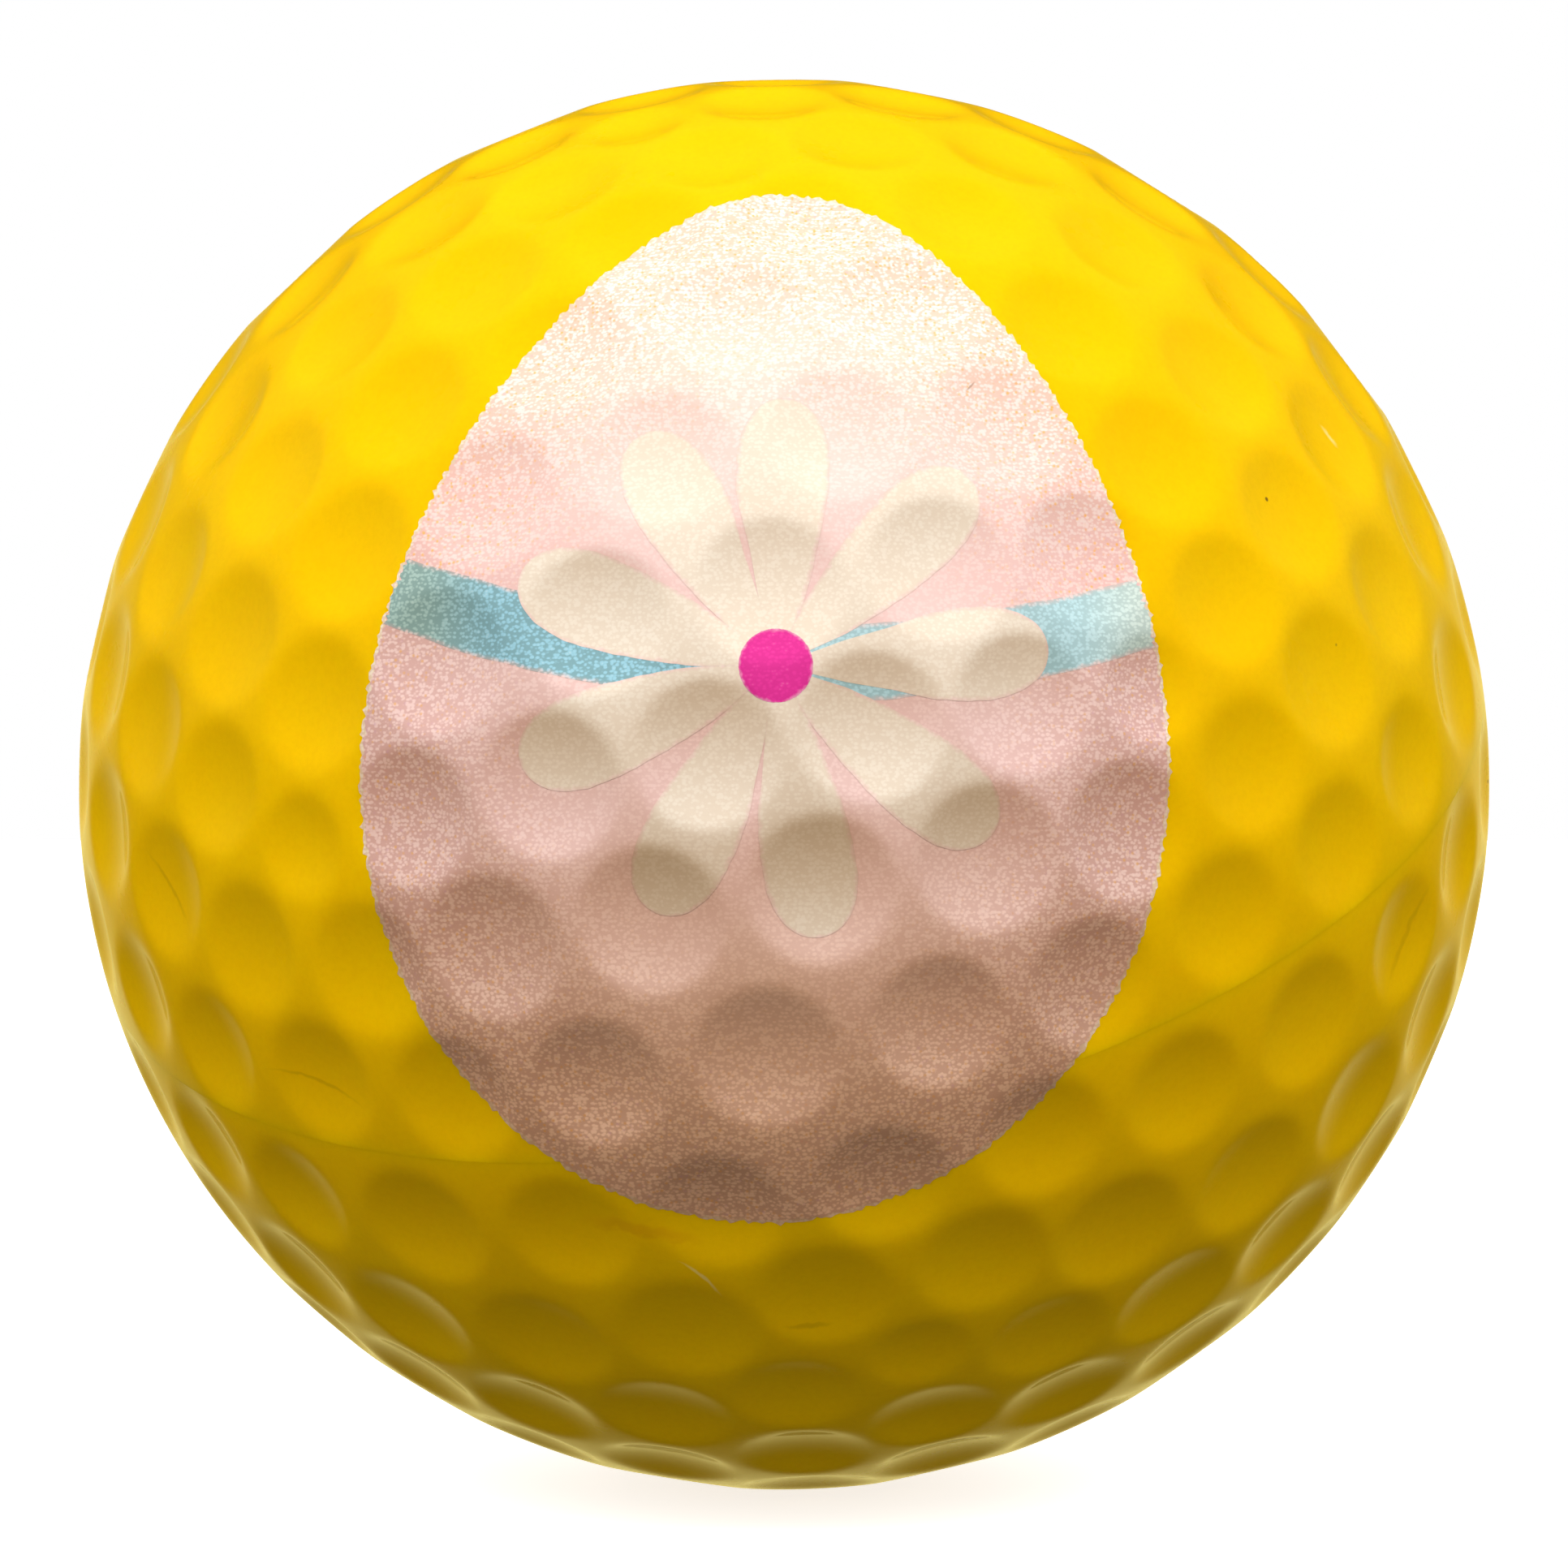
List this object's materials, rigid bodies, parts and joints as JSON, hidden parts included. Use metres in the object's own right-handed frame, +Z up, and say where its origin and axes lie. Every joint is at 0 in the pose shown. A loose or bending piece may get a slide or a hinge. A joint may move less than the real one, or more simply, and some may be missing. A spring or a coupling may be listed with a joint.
{
  "type": "golf ball",
  "caption": "Dimpled yellow golf ball with a rubber core, a cover in half shells and an egg-shaped floral print on the front",
  "frame": {"origin": "centre of the ball", "axes": "+Z up and -Y out of the middle of the printed side, as the ball lies in a viewer's hand with the print facing the viewer; +X to the viewer's right"},
  "size_m": [0.0426, 0.0428, 0.0426],
  "materials": {
    "cover_upper": "glossy clear-coated moulded ionomer, bright yellow, slightly translucent",
    "cover_lower": "glossy clear-coated moulded ionomer, bright yellow, slightly translucent",
    "core": "matt moulded rubber with a fine ground surface; colour is a guess",
    "print_base": "opaque white pad-printed ink, satin",
    "field_upper": "pale pink halftone ink, satin",
    "field_lower": "pink halftone ink, satin",
    "ribbon_left": "teal ink, satin",
    "ribbon_right": "pale teal ink, satin",
    "petal_1": "cream ink, satin",
    "petal_2": "cream ink, satin",
    "petal_3": "cream ink, satin",
    "petal_4": "cream ink, satin",
    "petal_5": "cream ink, satin",
    "petal_6": "cream ink, satin",
    "petal_7": "cream ink, satin",
    "petal_8": "cream ink, satin",
    "petal_9": "cream ink, satin",
    "flower_centre": "magenta ink, satin"
  },
  "bodies": {
    "root": {"cover_upper": "cover_upper", "cover_lower": "cover_lower", "core": "core", "print_base": "print_base", "field_upper": "field_upper", "field_lower": "field_lower", "ribbon_left": "ribbon_left", "ribbon_right": "ribbon_right", "petal_1": "petal_1", "petal_2": "petal_2", "petal_3": "petal_3", "petal_4": "petal_4", "petal_5": "petal_5", "petal_6": "petal_6", "petal_7": "petal_7", "petal_8": "petal_8", "petal_9": "petal_9", "flower_centre": "flower_centre"}
  },
  "joints": []
}
